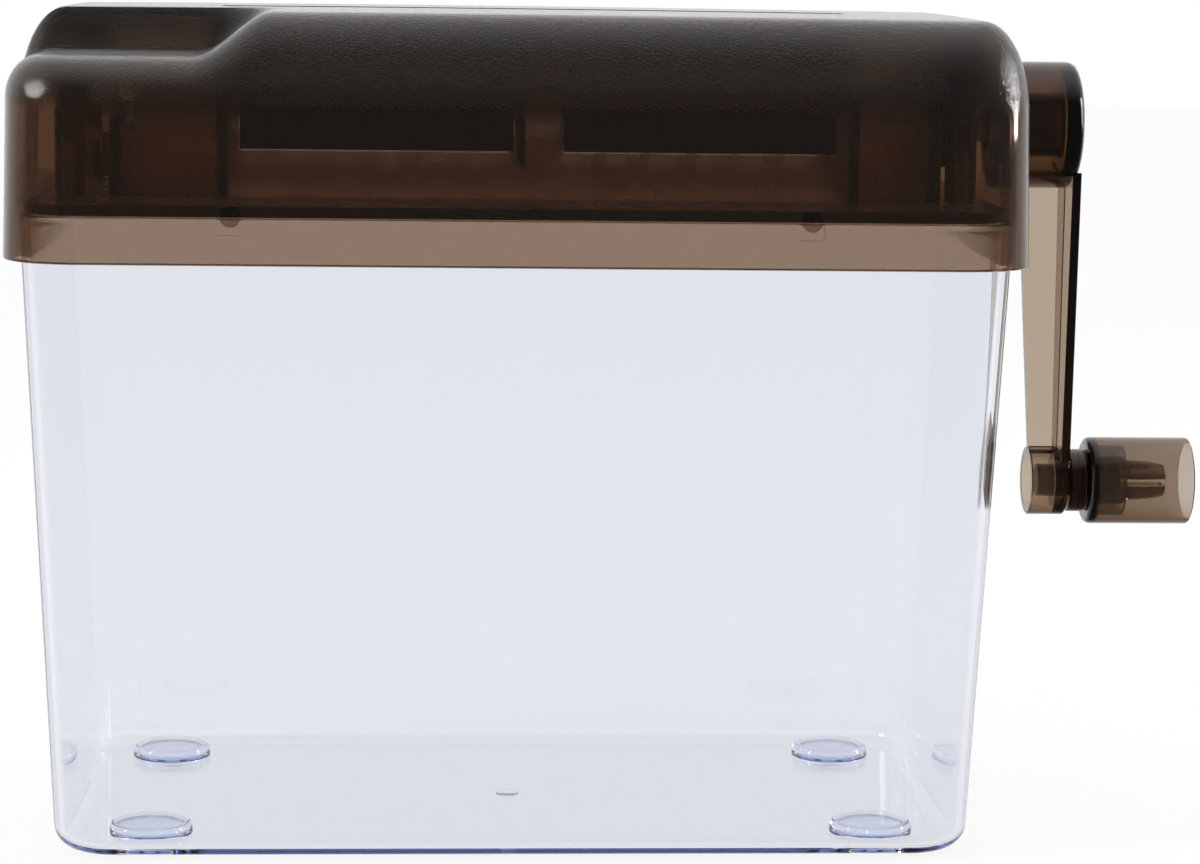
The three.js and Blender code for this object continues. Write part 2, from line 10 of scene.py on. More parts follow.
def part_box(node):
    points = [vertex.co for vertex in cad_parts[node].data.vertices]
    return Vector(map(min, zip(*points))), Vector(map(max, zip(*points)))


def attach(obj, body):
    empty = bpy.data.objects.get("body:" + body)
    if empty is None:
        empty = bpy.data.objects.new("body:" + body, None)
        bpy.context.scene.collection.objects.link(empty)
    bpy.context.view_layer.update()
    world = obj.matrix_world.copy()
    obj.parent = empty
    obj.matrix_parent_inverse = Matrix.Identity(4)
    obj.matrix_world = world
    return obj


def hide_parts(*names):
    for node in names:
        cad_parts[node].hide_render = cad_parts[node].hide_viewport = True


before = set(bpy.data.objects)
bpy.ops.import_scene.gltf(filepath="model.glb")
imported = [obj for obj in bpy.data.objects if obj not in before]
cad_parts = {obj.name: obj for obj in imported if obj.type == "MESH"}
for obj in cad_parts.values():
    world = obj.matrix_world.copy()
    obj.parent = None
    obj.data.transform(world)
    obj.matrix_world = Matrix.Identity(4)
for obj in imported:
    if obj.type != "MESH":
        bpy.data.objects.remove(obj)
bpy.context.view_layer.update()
MM = 0.001

# ------------------------------------------------------------------ places, in millimetres

BODY_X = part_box("bin")[0].x / MM / 2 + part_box("bin")[1].x / MM / 2       # middle of the bin and head
AXIS_Y = 7.0                               # the two shafts lie this far in front of and behind the middle
AXIS_Z = 128.3
CRANK_REACH = 65.6                         # from the hub's axis down to the grip's
CRANK_Z = AXIS_Z - CRANK_REACH
RIM_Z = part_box("bin")[1].z / MM
HEAD_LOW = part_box("head_cover")[0].z / MM
HEAD_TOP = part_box("head_cover")[1].z / MM


# ------------------------------------------------------------------ mesh helpers


def ring(half_x, half_y, radius, z, corner_steps=8, stations_x=(), stations_y=()):
    """A closed rounded rectangle, from the middle of the front left corner, anticlockwise from above."""
    half = corner_steps // 2

    def arc(cx, cy, start, steps):
        turn = math.pi / 2 / corner_steps
        angles = [start + i * turn for i in steps]
        return [(cx + radius * math.cos(a), cy + radius * math.sin(a)) for a in angles]

    ix, iy = half_x - radius, half_y - radius
    first, second = range(half, corner_steps + 1), range(0, half)
    points = arc(-ix, -iy, math.pi, first) + [(x, -half_y) for x in stations_x]
    points += arc(ix, -iy, -math.pi / 2, [*second, *first]) + [(half_x, y) for y in stations_y]
    points += arc(ix, iy, 0, [*second, *first]) + [(x, half_y) for x in reversed(stations_x)]
    points += arc(-ix, iy, math.pi / 2, [*second, *first]) + [(-half_x, y) for y in reversed(stations_y)]
    points += arc(-ix, -iy, math.pi, second)
    return [Vector((BODY_X + x, y, z)) for x, y in points]


class Build:
    """Collects points and faces, in millimetres, and turns them into one mesh object."""

    def __init__(self):
        self.bm = bmesh.new()

    def loop(self, points):
        return [self.bm.verts.new(p) for p in points]

    def band(self, a, b):
        for i in range(len(a)):
            j = (i + 1) % len(a)
            self.bm.faces.new((a[i], a[j], b[j], b[i]))

    def loft(self, rings):
        loops = [self.loop(r) for r in rings]
        for a, b in zip(loops, loops[1:]):
            self.band(a, b)
        return loops[0], loops[-1]

    def patch(self, loop, across, height=None, flip=False):
        """Fills a ring with a grid. `across` is how many edges its front side has."""
        along = len(loop) // 2 - across
        front = [v.co for v in loop[: across + 1]]
        right = [v.co for v in loop[across: across + along + 1]]
        rear = [v.co for v in reversed(loop[across + along: 2 * across + along + 1])]
        left = [loop[0].co] + [v.co for v in reversed(loop[2 * across + along:])]
        grid = [[None] * (along + 1) for _ in range(across + 1)]
        for i in range(across + 1):
            grid[i][0] = loop[i]
            grid[i][along] = loop[2 * across + along - i]
        for j in range(along + 1):
            grid[across][j] = loop[across + j]
            grid[0][j] = loop[0] if j == 0 else loop[(2 * across + 2 * along - j) % len(loop)]
        for i in range(1, across):
            for j in range(1, along):
                u, v = i / across, j / along
                p = front[i] * (1 - v) + rear[i] * v + left[j] * (1 - u) + right[j] * u
                p = p - (front[0] * (1 - u) * (1 - v) + front[-1] * u * (1 - v)
                         + rear[0] * (1 - u) * v + rear[-1] * u * v)
                if height:
                    p.z = height(p.x, p.y)
                grid[i][j] = self.bm.verts.new(p)
        for i in range(across):
            for j in range(along):
                corners = (grid[i][j], grid[i + 1][j], grid[i + 1][j + 1], grid[i][j + 1])
                self.bm.faces.new(reversed(corners) if flip else corners)

    def lathe(self, profile, centre, axis="Z", segments=48):
        """Turns a closed profile of (radius, along) points; points at radius 0 share one vertex."""
        turns = [2 * math.pi * k / segments for k in range(segments)]
        rows = []
        for radius, along in profile:
            count = 1 if radius == 0 else segments
            row = []
            for t in turns[:count]:
                p = (radius * math.cos(t), radius * math.sin(t), along)
                p = Vector(p if axis == "Z" else (p[2], p[0], p[1])) + Vector(centre)
                row.append(self.bm.verts.new(p))
            rows.append(row)
        closed = profile[0][0] > 0
        for a, b in zip(rows, rows[1:] + (rows[:1] if closed else [])):
            for k in range(segments):
                m = (k + 1) % segments
                quad = [a[k % len(a)], a[m % len(a)], b[m % len(b)], b[k % len(b)]]
                unique = list(dict.fromkeys(quad))
                if len(unique) > 2:
                    self.bm.faces.new(unique)

    def prism(self, outline, low, high, axis="Z"):
        """Extrudes an outline. Along Z it is drawn in (x, y); along X in (y, z); along Y in (x, z)."""
        order = {"Z": (0, 1, 2), "X": (1, 2, 0), "Y": (0, 2, 1)}[axis]
        ends = []
        for level in (low, high):
            row = []
            for a, b in outline:
                p = [0.0, 0.0, 0.0]
                p[order[0]], p[order[1]], p[order[2]] = a, b, level
                row.append(self.bm.verts.new(p))
            ends.append(row)
        self.band(*ends)
        self.bm.faces.new(reversed(ends[0]))
        self.bm.faces.new(ends[1])

    def finish(self, name):
        bmesh.ops.recalc_face_normals(self.bm, faces=self.bm.faces[:])
        bmesh.ops.scale(self.bm, vec=(MM, MM, MM), verts=self.bm.verts[:])
        mesh = bpy.data.meshes.new(name)
        self.bm.to_mesh(mesh)
        self.bm.free()
        piece = bpy.data.objects.new(name, mesh)
        bpy.context.scene.collection.objects.link(piece)
        return piece


def settle(piece):
    """Applies a piece's modifiers to its mesh."""
    bpy.context.view_layer.update()
    shaped = piece.evaluated_get(bpy.context.evaluated_depsgraph_get())
    mesh = bpy.data.meshes.new_from_object(shaped)
    piece.modifiers.clear()
    piece.data = mesh
    return piece


def carve(piece, operation, tools):
    for tool in tools:
        change = piece.modifiers.new("carve", "BOOLEAN")
        change.operation, change.solver, change.object = operation, "EXACT", tool
    settle(piece)
    for tool in tools:
        bpy.data.objects.remove(tool)
    return piece


def smooth(piece, angle=32):
    """Smooth shading that stays true on the large flat walls, so that they do not bend what is behind."""
    piece.data.shade_smooth()
    piece.data.set_sharp_from_angle(angle=math.radians(angle))
    even = piece.modifiers.new("even", "WEIGHTED_NORMAL")
    even.keep_sharp, even.weight = True, 100
    return settle(piece)


def place(piece, body, material, slot, *nodes):
    piece.data.materials.clear()
    piece.data.materials.append(material)
    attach(piece, body)
    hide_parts(*nodes)
    return piece


# ------------------------------------------------------------------ materials


def linear(code):
    """An sRGB hex colour as linear RGBA."""
    parts = [int(code[i: i + 2], 16) / 255 for i in (1, 3, 5)]
    return (*[c / 12.92 if c <= 0.04045 else ((c + 0.055) / 1.055) ** 2.4 for c in parts], 1.0)


def add(tree, kind, settings=None, links=None):
    """Adds a node. A setting is an input by name, or a property; a link is input name to an output socket."""
    node = tree.nodes.new("ShaderNode" + kind)
    for key, value in (settings or {}).items():
        if isinstance(key, int) or key in node.inputs:
            node.inputs[key].default_value = value
        else:
            setattr(node, key, value)
    for key, output in (links or {}).items():
        tree.links.new(output, node.inputs[key])
    return node


def new_material(name):
    material = bpy.data.materials.new(name)
    material.use_nodes = True
    material.node_tree.nodes.clear()
    return material, material.node_tree


def absorption(tree, seen, wall):
    """Tinted plastic: `seen` is the colour that white light has after `wall` millimetres of it."""
    loss = [-math.log(c) / (wall * MM) for c in linear(seen)[:3]]
    density = max(loss) * 1.05
    colour = [1 - one / density for one in loss]
    return add(tree, "VolumeAbsorption", {"Color": (*colour, 1.0), "Density": density})


def clear_polystyrene():
    """Clear polystyrene, injection moulded and polished: glassy, a cool blue where the light runs
    along a wall, with the faint waviness that flow leaves in a thin moulding."""
    material, tree = new_material("clear_polystyrene")
    where = add(tree, "TexCoord").outputs["Object"]
    flow = add(tree, "TexNoise", {"Scale": 1 / (22 * MM), "Detail": 2.0}, {"Vector": where})
    bump = add(tree, "Bump", {"Strength": 0.02, "Distance": 0.5 * MM}, {"Height": flow.outputs["Fac"]})
    surface = add(tree, "BsdfPrincipled", {
        "Base Color": linear("#F5F6F8"), "Transmission Weight": 1.0, "IOR": 1.5, "Roughness": 0.015,
    }, {"Normal": bump.outputs["Normal"]})
    volume = absorption(tree, "#F8F9FE", 5.4)
    add(tree, "OutputMaterial", None, {"Surface": surface.outputs[0], "Volume": volume.outputs[0]})
    return material


def smoked_polystyrene(name, seen, wall, textured=False, matt=False):
    """Smoke-tinted polystyrene, injection moulded. Polished tool faces leave it glossy; the spark-eroded
    upper part of the head's tool leaves fine grains there that glitter and blur what lies behind. The
    frame's tool is blasted, which leaves its walls matt, so that the cutters show through as one brown."""
    material, tree = new_material(name)
    where = add(tree, "TexCoord").outputs["Object"]
    settings = {
        "Base Color": linear("#FFFFFF"), "Transmission Weight": 1.0, "IOR": 1.5, "Roughness": 0.05,
    }
    if textured:
        height = add(tree, "SeparateXYZ", None, {"Vector": where}).outputs["Z"]
        share = add(tree, "MapRange", {
            "From Min": (HEAD_TOP - 18) * MM, "From Max": (HEAD_TOP - 12) * MM,
            "To Min": 0.0, "To Max": 1.0, "interpolation_type": "SMOOTHSTEP",
        }, {"Value": height}).outputs["Result"]
        rough = add(tree, "MapRange", {"To Min": 0.04, "To Max": 0.17}, {"Value": share}).outputs["Result"]
        grain_size = 0.45 * MM             # drawn about twice as coarse as the real grains, so that it shows
        grains = add(tree, "TexNoise", {"Scale": 1 / grain_size, "Detail": 1.0, "Roughness": 0.6},
                     {"Vector": where})
        lift = add(tree, "Math", {"operation": "MULTIPLY"}, {0: grains.outputs["Fac"], 1: share}).outputs[0]
        bump = add(tree, "Bump", {"Strength": 0.8, "Distance": 0.15 * MM}, {"Height": lift})
        # painted haze: the grained top gets a paler, bluer base colour that stands in for the white light its
        # grains scatter; the plastic itself is the same smoke tint there
        painted_haze_tint = add(tree, "MixRGB", {"Color1": linear("#FFFFFF"), "Color2": linear("#C4D6E6")}, {"Fac": share})
        settings.update({"Sheen Weight": 0.2, "Sheen Roughness": 0.4})       # the white haze of the grains
        links = {"Base Color": painted_haze_tint.outputs[0], "Roughness": rough, "Normal": bump.outputs["Normal"]}
    else:
        flow = add(tree, "TexNoise", {"Scale": 1 / (9 * MM), "Detail": 2.0}, {"Vector": where})
        bump = add(tree, "Bump", {"Strength": 0.03, "Distance": 0.3 * MM}, {"Height": flow.outputs["Fac"]})
        links = {"Normal": bump.outputs["Normal"]}
    if matt:
        blasted = add(tree, "MapRange", {"To Min": 0.2, "To Max": 0.36}, {"Value": flow.outputs["Fac"]})
        links["Roughness"] = blasted.outputs["Result"]
    surface = add(tree, "BsdfPrincipled", settings, links)
    volume = absorption(tree, seen, wall)
    add(tree, "OutputMaterial", None, {"Surface": surface.outputs[0], "Volume": volume.outputs[0]})
    return material


def soft_polyurethane():
    """Clear polyurethane foot pad, cast and die-cut: soft, bluish, a little duller than the bin."""
    material, tree = new_material("soft_polyurethane")
    where = add(tree, "TexCoord").outputs["Object"]
    skin = add(tree, "TexNoise", {"Scale": 1 / (1.2 * MM), "Detail": 3.0}, {"Vector": where})
    bump = add(tree, "Bump", {"Strength": 0.12, "Distance": 0.1 * MM}, {"Height": skin.outputs["Fac"]})
    surface = add(tree, "BsdfPrincipled", {
        "Base Color": linear("#F2F5FF"), "Transmission Weight": 1.0, "IOR": 1.48, "Roughness": 0.12,
    }, {"Normal": bump.outputs["Normal"]})
    volume = absorption(tree, "#C3CFEE", 3.0)
    add(tree, "OutputMaterial", None, {"Surface": surface.outputs[0], "Volume": volume.outputs[0]})
    return material


def moulded_acetal(name, base):
    """Acetal, injection moulded: an even satin skin with a faint mottle where the melt met the tool."""
    material, tree = new_material(name)
    where = add(tree, "TexCoord").outputs["Object"]
    mottle = add(tree, "TexNoise", {"Scale": 1 / (2.5 * MM), "Detail": 4.0}, {"Vector": where})
    shade = add(tree, "MixRGB", {"blend_type": "MIX", "Color1": linear(base[0]), "Color2": linear(base[1])},
                {"Fac": mottle.outputs["Fac"]})
    rough = add(tree, "MapRange", {"To Min": 0.38, "To Max": 0.56}, {"Value": mottle.outputs["Fac"]})
    fine = add(tree, "TexNoise", {"Scale": 1 / (0.3 * MM), "Detail": 2.0}, {"Vector": where})
    bump = add(tree, "Bump", {"Strength": 0.15, "Distance": 0.05 * MM}, {"Height": fine.outputs["Fac"]})
    surface = add(tree, "BsdfPrincipled", {"IOR": 1.48, "Specular IOR Level": 0.3}, {
        "Base Color": shade.outputs[0], "Roughness": rough.outputs["Result"],
        "Normal": bump.outputs["Normal"],
    })
    add(tree, "OutputMaterial", None, {"Surface": surface.outputs[0]})
    return material


def steel(name, bright, dull, streak, roughness):
    """Bare steel. `streak` is the length in millimetres, along X, Y and Z, of the marks that drawing,
    pressing or plating leaves, so the shine is pulled out along the longest of them."""
    material, tree = new_material(name)
    where = add(tree, "TexCoord").outputs["Object"]
    scaled = add(tree, "Mapping", {"Scale": [1 / (s * MM) for s in streak]}, {"Vector": where})
    marks = add(tree, "TexNoise", {"Scale": 1.0, "Detail": 3.0, "Roughness": 0.65},
                {"Vector": scaled.outputs[0]})
    stain = add(tree, "TexNoise", {"Scale": 1 / (6 * MM), "Detail": 2.0}, {"Vector": where})
    shade = add(tree, "MixRGB", {"Color1": linear(dull), "Color2": linear(bright)},
                {"Fac": marks.outputs["Fac"]})
    rough = add(tree, "MapRange", {"To Min": roughness - 0.08, "To Max": roughness + 0.1},
                {"Value": stain.outputs["Fac"]})
    bump = add(tree, "Bump", {"Strength": 0.2, "Distance": 0.03 * MM}, {"Height": marks.outputs["Fac"]})
    surface = add(tree, "BsdfPrincipled", {"Metallic": 1.0}, {
        "Base Color": shade.outputs[0], "Roughness": rough.outputs["Result"],
        "Normal": bump.outputs["Normal"],
    })
    add(tree, "OutputMaterial", None, {"Surface": surface.outputs[0]})
    return material


COVER_SMOKE = smoked_polystyrene("smoked_cover", "#A48B76", 1.8, textured=True)
FRAME_SMOKE = smoked_polystyrene("smoked_frame", "#B89E90", 2.0, matt=True)
CRANK_SMOKE = smoked_polystyrene("smoked_crank", "#B9A795", 1.7)
GRIP_SMOKE = smoked_polystyrene("smoked_grip", "#B5A698", 1.2)
CLEAR = clear_polystyrene()
PAD = soft_polyurethane()
BLACK = moulded_acetal("black_acetal", ("#0B0B0B", "#161515"))
GEAR = moulded_acetal("gear_acetal", ("#141210", "#221E1B"))
NYLON = moulded_acetal("natural_nylon", ("#A89D8A", "#BDB29E"))
DISC_STEEL = steel("pressed_steel", "#C9CACB", "#9C9D9E", (2.0, 0.5, 0.5), 0.42)
BAR_STEEL = steel("drawn_steel", "#B4B5B6", "#808284", (14.0, 0.25, 0.25), 0.28)
ZINC = steel("zinc_plated_steel", "#CDCFD1", "#A3A6A9", (0.8, 0.8, 0.8), 0.32)

# ------------------------------------------------------------------ bin

BIN_LOW, BIN_WALL, BIN_CORNER, BIN_EDGE = 0.4, 1.8, 11.0, 4.0
PAD_X, PAD_Y = 64.5, 29.7
PIP_X, PIP_Z = 49.5, 113.4                 # the cover's locating pips, each in a notch of the rim
PIP_NOTCH = 2.3                            # half of a notch's width


def bin_ring(inset, z):
    share = (z - BIN_LOW) / (RIM_Z - BIN_LOW)
    return ring(81.2 + 5.0 * share - inset, 43.2 + 3.6 * share - inset, max(BIN_CORNER - inset, 1.5), z, 12)


def tub(inset, floor):
    """One side of the bin's wall, from the flat of its floor to just under the rim."""
    edge = BIN_EDGE - inset
    rings = [bin_ring(inset + edge + 0.4, floor)]
    for k in range(7):
        turn = math.radians(15 * k)
        rings.append(bin_ring(inset + edge * (1 - math.sin(turn)), floor + edge * (1 - math.cos(turn))))
    return rings + [bin_ring(inset, z) for z in (30, 70, RIM_Z - 1, RIM_Z - 0.5)]


def lathe(profile, at, axis="Z", segments=48, name="tool"):
    work = Build()
    work.lathe(profile, at, axis, segments)
    return work.finish(name)


def prism(outline, low, high, axis, name="tool"):
    work = Build()
    work.prism(outline, low, high, axis)
    return work.finish(name)


def slab(x, y, z, name="tool"):
    return prism([(x[0], y[0]), (x[1], y[0]), (x[1], y[1]), (x[0], y[1])], *z, "Z", name)


def circle(a, b, radius, count=40):
    return [(a + radius * math.cos(2 * math.pi * k / count), b + radius * math.sin(2 * math.pi * k / count))
            for k in range(count)]


def corners(x, y):
    return [(row, side, BODY_X + sx * x, sy * y)
            for row, sy in (("front", -1), ("rear", 1)) for side, sx in (("left", -1), ("right", 1))]


def make_bin():
    rim = [(0.08, 0.2), (0.25, 0.06), (0.5, 0.0), (1.3, 0.0), (1.55, 0.06), (1.72, 0.2)]
    work = Build()
    low, high = work.loft(
        tub(0, BIN_LOW) + [bin_ring(inset, RIM_Z - down) for inset, down in rim]
        + tub(BIN_WALL, BIN_LOW + BIN_WALL)[::-1]
    )
    work.bm.faces.new(low)
    work.bm.faces.new(high)
    shell = work.finish("bin_shell")
    cup = [(0, 1.2), (7.4, 1.2), (7.4, 2.9), (7.1, 4.0), (6.8, 4.3), (6.5, 4.4), (0, 4.4)]
    recess = [(0, -1), (6.6, -1), (6.6, 2.9), (6.4, 3.1), (0, 3.1)]
    gate = [(0, 0.1), (1.8, 0.1), (2.1, 0.25), (2.2, 1.4), (0, 1.4)]
    places = [(x, y, 0) for _, _, x, y in corners(PAD_X, PAD_Y)]
    carve(shell, "UNION", [lathe(cup, at) for at in places] + [lathe(gate, (BODY_X, 0, 0))])
    notches = []
    for side in (-1, 1):
        y = sorted((side * (46.8 - 1), side * 60))
        for x in (BODY_X - PIP_X, BODY_X + PIP_X):
            notches.append(slab((x - PIP_NOTCH, x + PIP_NOTCH), y, (PIP_Z - PIP_NOTCH - 1, 130)))
    carve(shell, "DIFFERENCE", [lathe(recess, at) for at in places] + notches)
    return smooth(shell)


place(make_bin(), "bin", CLEAR, "clear_bin", "bin")

pad_profile = [(0, 1.1), (1.5, 1.1), (1.7, 0.9), (1.7, 0.2), (1.85, 0.05), (2.1, 0), (5.2, 0), (5.55, 0.12),
               (6.15, 0.72), (6.2, 0.95), (6.2, 2.1), (6.0, 2.36), (5.8, 2.4), (0, 2.4)]
for row, side, x, y in corners(PAD_X, PAD_Y):
    pad = smooth(lathe(pad_profile, (x, y, 0), name=f"pad_{row}_{side}"))
    place(pad, "bin", PAD, "foot_pad", f"foot_pad_{row}_{side}")

# ------------------------------------------------------------------ head cover

COVER_X, COVER_Y, COVER_CORNER, COVER_WALL = 88.3, 49.0, 13.0, 1.8
SHOULDER = 12.0                            # how far in the widest part of the rounding reaches
LOW_TOP = 140.0
SIDE_SHARE = 0.7                           # of that, how far it reaches at the left and right ends
CROWN = 0.6                                # the top is this much higher in its middle
STEP_X, STEP_Y = (-56.5, -42.5), (-17.0, -12.5)    # where the top rises from the cut-down part
SHOULDER_LOW = 131.0                       # where the upright walls end and the rounding starts
POST_X, POST_Y = 78.3, 26.0                # the screws' posts
SLOT = (-53, 60)                           # the paper slot's two ends
STATIONS_X = ([-71, -66, -61.5] + [-58 + 1.25 * k for k in range(14)] + [-38, -32]
              + [-24 + 9 * k for k in range(11)])
STATIONS_Y = [-31, -25.5, -21] + [-18.2 + 0.9 * k for k in range(9)] + [-7, -1, 6, 13, 20, 28]


def smoothstep(low, high, value):
    t = min(max((value - low) / (high - low), 0.0), 1.0)
    return t * t * (3 - 2 * t)


def step_share(x, y, inset):
    """0 on the cut-down part at the front left, 1 on the rest of the head."""
    return 1 - (1 - smoothstep(*STEP_X, x - inset)) * (1 - smoothstep(*STEP_Y, y - inset))


def top_at(x, y, inset=0.0):
    """Height of the head's top, or of its ceiling, over a point given from the middle of the head."""
    dome = CROWN * ((x / COVER_X) ** 2 + (y / COVER_Y) ** 2) / 2
    return LOW_TOP + (HEAD_TOP - dome - LOW_TOP) * step_share(x, y, inset) - inset


def shoulder_at(x, y, depth, inset):
    """Height of the rounded shoulder at a distance in from the wall."""
    share = step_share(x, y, inset)
    reach = 8.5 + (SHOULDER - 8.5) * share - inset
    low = 132.5 - 1.5 * share
    rise = math.sqrt(max(1 - (max(reach - depth, 0) / reach) ** 2, 0))
    return low + (top_at(x, y, inset) - low) * rise


def cover_ring(inset, z=None, turn=None):
    """A ring of the head's wall at height z, or of its rounded shoulder at `turn` degrees from upright."""
    depth = 0.0 if turn is None else (SHOULDER - inset) * (1 - math.cos(math.radians(turn)))
    flare = 0.0 if z is None else 0.6 * (SHOULDER_LOW - z) / 26
    whole = inset + depth
    points = ring(COVER_X + flare - inset - SIDE_SHARE * depth, COVER_Y + flare / 2 - whole,
                  COVER_CORNER - whole, z or 0.0, 12, STATIONS_X, STATIONS_Y)
    if turn is not None:
        for p in points:
            p.z = shoulder_at(p.x - BODY_X, p.y, depth, inset)
    return points


def make_cover():
    across = 12 + len(STATIONS_X) + 1
    edge = [(1.7, 0.15), (1.4, 0.0), (0.4, 0.0), (0.1, 0.15)]
    turns = [0, 6, 12, 20, 28, 36, 44, 52, 60, 68, 76, 83, 90]
    work = Build()
    inner = [cover_ring(COVER_WALL, turn=t) for t in reversed(turns)]
    outer = [cover_ring(0, turn=t) for t in turns]
    ceiling, top = work.loft(
        inner + [cover_ring(COVER_WALL, HEAD_LOW + 0.5)] + [cover_ring(i, HEAD_LOW + up) for i, up in edge]
        + [cover_ring(0, HEAD_LOW + 0.5)] + outer
    )
    work.patch(top, across, lambda x, y: top_at(x - BODY_X, y))
    work.patch(ceiling, across, lambda x, y: top_at(x - BODY_X, y, COVER_WALL))
    shell = work.finish("cover_shell")

    posts = []
    for _, _, x, y in corners(POST_X, POST_Y):
        height = top_at(x - BODY_X, y) - 1.45
        posts.append(lathe([(0, 115.3), (2.7, 115.3), (2.9, 115.5), (2.9, height), (0, height)], (x, y, 0)))
    pips = []
    for side in (-1, 1):
        y = sorted((side * (COVER_Y - 1.5), side * (COVER_Y - COVER_WALL - 0.9)))
        pips += [prism(circle(BODY_X + x, PIP_Z, 1.8), *y, "Y") for x in (-PIP_X, PIP_X)]
    chute = slab((BODY_X + SLOT[0] - 1.4, BODY_X + SLOT[1] + 1.4), (-3.7, 3.7), (138.6, HEAD_TOP - 1.0))
    carve(shell, "UNION", [chute, *posts, *pips])

    slot = slab((BODY_X + SLOT[0], BODY_X + SLOT[1]), (-2.3, 2.3), (130, 160))
    lip = 1.6
    funnel = [(-2.3, HEAD_TOP - 2), (2.3, HEAD_TOP - 2),
              (2.3 + lip, HEAD_TOP + 0.1), (-2.3 - lip, HEAD_TOP + 0.1)]
    mouth = prism(funnel, BODY_X + SLOT[0], BODY_X + SLOT[1], "X")
    shaft = prism(circle(-AXIS_Y, AXIS_Z, 5.2), BODY_X + 82, BODY_X + 90, "X")
    holes = [lathe([(0, 110), (1.25, 110), (1.25, 124.3), (0, 124.3)], (x, y, 0), segments=24)
             for _, _, x, y in corners(POST_X, POST_Y)]
    carve(shell, "DIFFERENCE", [slot, mouth, shaft, *holes])
    return smooth(shell)


place(make_cover(), "head", COVER_SMOKE, "smoked_cover", "head_cover")

# ------------------------------------------------------------------ crank, spindle and grip

HUB = (BODY_X, -AXIS_Y, AXIS_Z)
BOSS = (BODY_X, -AXIS_Y, CRANK_Z)


def bar(radius, low, high, at, segments=64):
    return lathe([(0, low), (radius, low), (radius, high), (0, high)], at, "X", segments)


def make_crank():
    dome = [(11.5, 100.3), (11.3, 101.1), (10.8, 101.7), (9.9, 102.1), (8.4, 102.4), (5, 102.62), (0, 102.7)]
    hub = lathe([(0, 89.4), (11.2, 89.4), (11.5, 89.7), *dome], HUB, "X", 72, "crank_shell")
    hollow = lathe([(5.8, 88), (8.7, 88), (8.7, 98.7), (8.3, 99.1), (6.2, 99.1), (5.8, 98.7)], HUB, "X", 64)
    hexagon = [(-AXIS_Y + 3.6 * math.cos(k * math.pi / 3), AXIS_Z + 3.6 * math.sin(k * math.pi / 3))
               for k in range(6)]
    socket = prism(hexagon, BODY_X + 88, BODY_X + 99.1, "X")
    carve(hub, "DIFFERENCE", [hollow, socket])
    side = [(95.8, CRANK_Z), (102.3, CRANK_Z), (102.3, AXIS_Z), (91.6, AXIS_Z)]
    plate = prism([(BODY_X + x, z) for x, z in side], -AXIS_Y - 0.85, -AXIS_Y + 0.85, "Y")
    end = [(-4.9, CRANK_Z), (4.9, CRANK_Z), (7.6, AXIS_Z), (-7.6, AXIS_Z)]
    flange = prism([(y - AXIS_Y, z) for y, z in end], BODY_X + 100.8, BODY_X + 102.4, "X")
    boss = lathe([(0, 95.3), (6.1, 95.3), (6.35, 95.55), (6.35, 101.8), (6.1, 102.1), (0, 102.1)], BOSS, "X")
    carve(boss, "DIFFERENCE", [bar(4.9, 90, 99.9, BOSS)])
    carve(plate, "UNION", [flange])
    carve(plate, "DIFFERENCE", [bar(11.0, 80, 120, HUB), bar(5.85, 80, 120, BOSS)])
    carve(hub, "UNION", [boss, plate])
    carve(hub, "DIFFERENCE", [bar(3.1, 90, 115, BOSS)])
    return smooth(hub)


def make_spindle():
    collar = [(3, 102.7), (5.6, 102.7), (5.8, 102.9), (5.8, 105.5), (5.6, 105.7), (3, 105.7)]
    barb = [(3, 113.6), (3.65, 114.2), (3.65, 115.2), (3.4, 118.4), (2.95, 120.6), (2.7, 120.8), (0, 120.8)]
    profile = [(0, 97), (2.8, 97), (3, 97.2), *collar, *barb]
    body = lathe(profile, BOSS, "X", 48, "spindle_pin")
    split = (BODY_X + 112.1, BODY_X + 122)
    flat = slab(split, (-AXIS_Y - 0.65, -AXIS_Y + 0.65), (CRANK_Z - 8, CRANK_Z + 8))
    upright = slab(split, (-AXIS_Y - 8, -AXIS_Y + 8), (CRANK_Z - 0.65, CRANK_Z + 0.65))
    return smooth(carve(body, "DIFFERENCE", [flat, upright, bar(1.2, 112.1, 122, BOSS, 24)]))


def make_grip():
    end = [(3.3, 106), (6.9, 106), (7.5, 106.15), (7.85, 106.5), (8.0, 107.1)]
    mouth = [(8.0, 124.9), (7.85, 125.2), (7.6, 125.3), (7.2, 125.3), (7.0, 125.1), (6.8, 108.3)]
    skirt = [(6.5, 107.7), (6.5, 112.7), (6.3, 112.9), (5.9, 112.9), (5.7, 112.7), (5.7, 107.7)]
    bearing = [(4.4, 107.7), (4.4, 112.9), (4.1, 113.2), (3.6, 113.2), (3.3, 112.9)]
    profile = end + mouth + skirt + bearing
    return smooth(lathe(profile, BOSS, "X", 64, "grip_shell"))


place(make_crank(), "drive", CRANK_SMOKE, "smoked_crank", "crank")
place(make_spindle(), "drive", CRANK_SMOKE, "smoked_crank", "grip_spindle")
place(make_grip(), "grip", GRIP_SMOKE, "smoked_grip", "grip")

# ------------------------------------------------------------------ finishes of the pieces kept as they are

